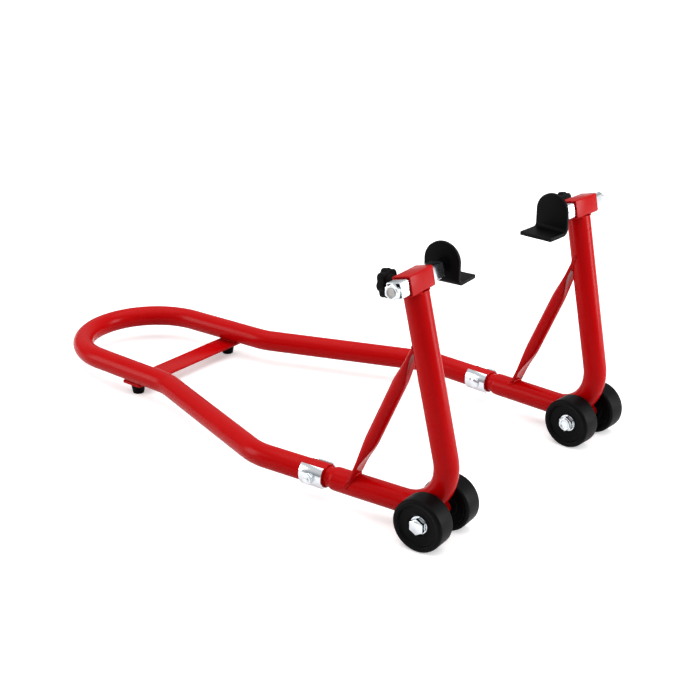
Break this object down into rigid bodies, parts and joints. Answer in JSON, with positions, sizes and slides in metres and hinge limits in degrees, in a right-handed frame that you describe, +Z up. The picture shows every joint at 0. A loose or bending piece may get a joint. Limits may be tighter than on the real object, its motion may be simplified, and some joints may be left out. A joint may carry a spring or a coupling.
{
  "type": "paddock stand",
  "caption": "Motorcycle rear paddock stand: looped tube handle bolted to two braced arms with wheels at the elbows, sliding square tubes with swivelling L-shaped paddles, and star knobs.",
  "frame": {"origin": "on the floor, under the middle of the stand's length and width", "axes": "+X to the right seen from the wheels' end, +Y from the wheels towards the handle's loop, +Z up"},
  "size_m": [0.4854, 0.8385, 0.3628],
  "materials": {
    "red_paint": "gloss powder coat",
    "zinc_plate": "bright zinc plate, slightly blue",
    "bare_steel": "plain turned steel",
    "black_rubber": "satin",
    "black_plastic": "satin moulded"
  },
  "bodies": {
    "frame": {"handle_tube": "red_paint", "cross_strap": "red_paint", "foot_left": "black_rubber", "foot_screw_left": "zinc_plate", "foot_right": "black_rubber", "foot_screw_right": "zinc_plate", "arm_tube_left": "red_paint", "brace_left": "red_paint", "clamp_plate_outer_left": "zinc_plate", "clamp_plate_inner_left": "zinc_plate", "clamp_bolt_left": "zinc_plate", "clamp_nut_left": "zinc_plate", "axle_sleeve_left": "red_paint", "axle_bolt_left": "zinc_plate", "axle_nut_left": "zinc_plate", "axle_washer_outer_left": "zinc_plate", "axle_washer_inner_left": "zinc_plate", "socket_left": "red_paint", "socket_nut_left": "red_paint", "arm_tube_right": "red_paint", "brace_right": "red_paint", "clamp_plate_outer_right": "zinc_plate", "clamp_plate_inner_right": "zinc_plate", "clamp_bolt_right": "zinc_plate", "clamp_nut_right": "zinc_plate", "axle_sleeve_right": "red_paint", "axle_bolt_right": "zinc_plate", "axle_nut_right": "zinc_plate", "axle_washer_outer_right": "zinc_plate", "axle_washer_inner_right": "zinc_plate", "socket_right": "red_paint", "socket_nut_right": "red_paint"},
    "outer_wheel_left": {"wheel_outer_left": "black_plastic"},
    "inner_wheel_left": {"wheel_inner_left": "black_plastic"},
    "slide_left": {"slide_tube_left": "zinc_plate", "slide_bush_outer_left": "black_plastic", "slide_bush_inner_left": "black_plastic"},
    "paddle_left": {"paddle_bracket_left": "bare_steel", "paddle_cover_left": "black_rubber", "shaft_collar_left": "zinc_plate", "shaft_nut_left": "zinc_plate"},
    "stud_left": {"knob_stud_left": "zinc_plate"},
    "knob_left": {"star_knob_left": "black_plastic"},
    "outer_wheel_right": {"wheel_outer_right": "black_plastic"},
    "inner_wheel_right": {"wheel_inner_right": "black_plastic"},
    "slide_right": {"slide_tube_right": "zinc_plate", "slide_bush_outer_right": "black_plastic", "slide_bush_inner_right": "black_plastic"},
    "paddle_right": {"paddle_bracket_right": "bare_steel", "paddle_cover_right": "black_rubber", "shaft_collar_right": "zinc_plate", "shaft_nut_right": "zinc_plate"},
    "stud_right": {"knob_stud_right": "zinc_plate"},
    "knob_right": {"star_knob_right": "black_plastic"}
  },
  "joints": [
    {"name": "outer_wheel_left_spin", "type": "hinge", "parent": "frame", "child": "outer_wheel_left", "pos_m": [-0.21458, -0.38372, 0.035], "axis": [0.9979, 0.0642, 0], "continuous": true},
    {"name": "inner_wheel_left_spin", "type": "hinge", "parent": "frame", "child": "inner_wheel_left", "pos_m": [-0.14962, -0.37954, 0.035], "axis": [0.9979, 0.0642, 0], "continuous": true},
    {"name": "slide_left_travel", "type": "slide", "parent": "frame", "child": "slide_left", "axis": [-0.9979, -0.0642, 0], "range_m": [-0.015, 0.034]},
    {"name": "paddle_left_swivel", "type": "hinge", "parent": "slide_left", "child": "paddle_left", "pos_m": [-0.13075, -0.34403, 0.3312], "axis": [0.9979, 0.0642, 0], "continuous": true},
    {"name": "stud_left_travel", "type": "slide", "parent": "frame", "child": "stud_left", "axis": [-0.0628, 0.9762, -0.2074], "range_m": [0, 0.006]},
    {"name": "knob_left_turn", "type": "hinge", "parent": "stud_left", "child": "knob_left", "pos_m": [-0.20176, -0.32272, 0.32572], "axis": [-0.0628, 0.9762, -0.2074], "range_deg": [0, 1728]},
    {"name": "outer_wheel_right_spin", "type": "hinge", "parent": "frame", "child": "outer_wheel_right", "pos_m": [0.21458, -0.38372, 0.035], "axis": [0.9979, -0.0642, 0], "continuous": true},
    {"name": "inner_wheel_right_spin", "type": "hinge", "parent": "frame", "child": "inner_wheel_right", "pos_m": [0.14962, -0.37954, 0.035], "axis": [0.9979, -0.0642, 0], "continuous": true},
    {"name": "slide_right_travel", "type": "slide", "parent": "frame", "child": "slide_right", "axis": [0.9979, -0.0642, 0], "range_m": [-0.015, 0.034]},
    {"name": "paddle_right_swivel", "type": "hinge", "parent": "slide_right", "child": "paddle_right", "pos_m": [0.13075, -0.34403, 0.3312], "axis": [0.9979, -0.0642, 0], "continuous": true},
    {"name": "stud_right_travel", "type": "slide", "parent": "frame", "child": "stud_right", "axis": [0.0628, 0.9762, -0.2074], "range_m": [0, 0.006]},
    {"name": "knob_right_turn", "type": "hinge", "parent": "stud_right", "child": "knob_right", "pos_m": [0.20176, -0.32272, 0.32572], "axis": [0.0628, 0.9762, -0.2074], "range_deg": [0, 1728]}
  ],
  "couplings": [
    {"joint": "stud_left_travel", "follows": "knob_left_turn", "m_per_rad": 0.00019894},
    {"joint": "stud_right_travel", "follows": "knob_right_turn", "m_per_rad": 0.00019894}
  ]
}
